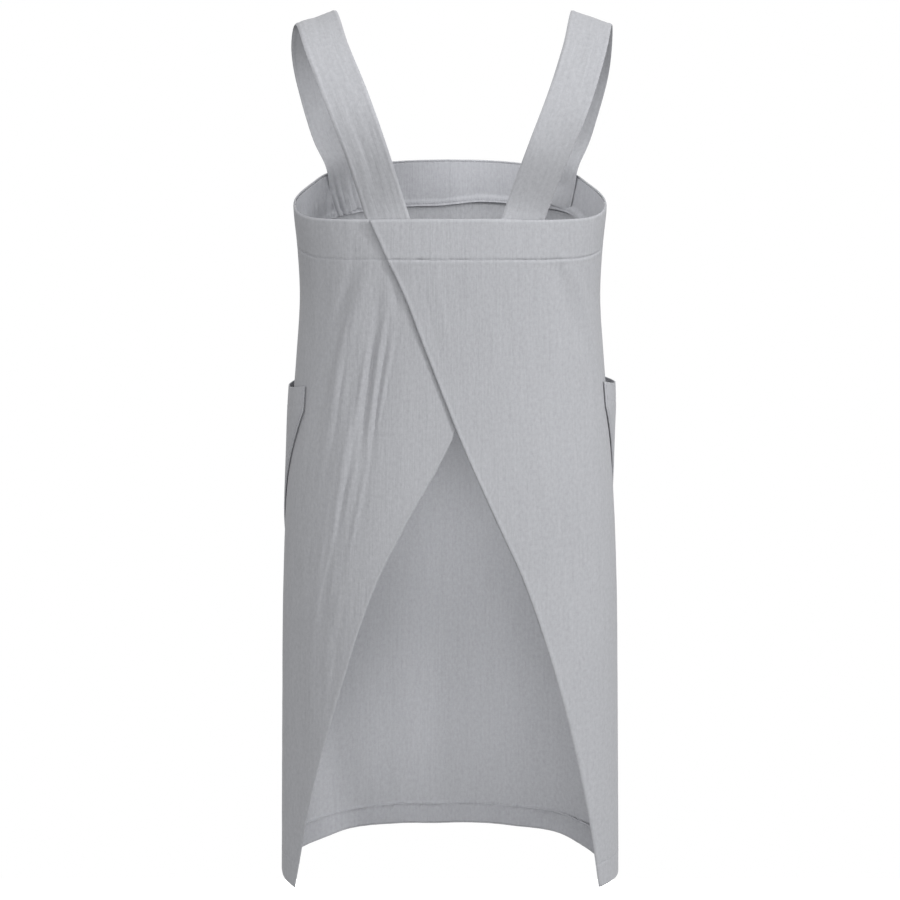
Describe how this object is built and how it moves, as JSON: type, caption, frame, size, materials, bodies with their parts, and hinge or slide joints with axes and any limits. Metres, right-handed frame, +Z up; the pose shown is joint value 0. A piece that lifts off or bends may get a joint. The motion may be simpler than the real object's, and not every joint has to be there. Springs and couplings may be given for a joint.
{
  "type": "cross back apron",
  "caption": "Linen pinafore apron with wide shoulder straps, back panels that cross and open below, and patch pockets at the sides.",
  "frame": {"origin": "midway between the two straps, level with their tops where they lie on the shoulders", "axes": "+Z up, +Y towards the wearer's back, +X towards the wearer's left"},
  "size_m": [0.3652, 0.2462, 0.9393],
  "materials": {
    "linen": "light cool grey washed linen, plain weave with fine slubs, matt",
    "linen_inside": "the same grey linen on its inner face, slightly duller, matt"
  },
  "bodies": {
    "root": {"front_panel": "linen", "back_panel_left": "linen", "back_panel_right": "linen", "front_facing": "linen_inside", "back_facing_left": "linen_inside", "back_facing_right": "linen_inside", "front_hem": "linen_inside", "pocket_left": "linen", "pocket_right": "linen", "strap_left": "linen", "strap_right": "linen"}
  },
  "joints": []
}
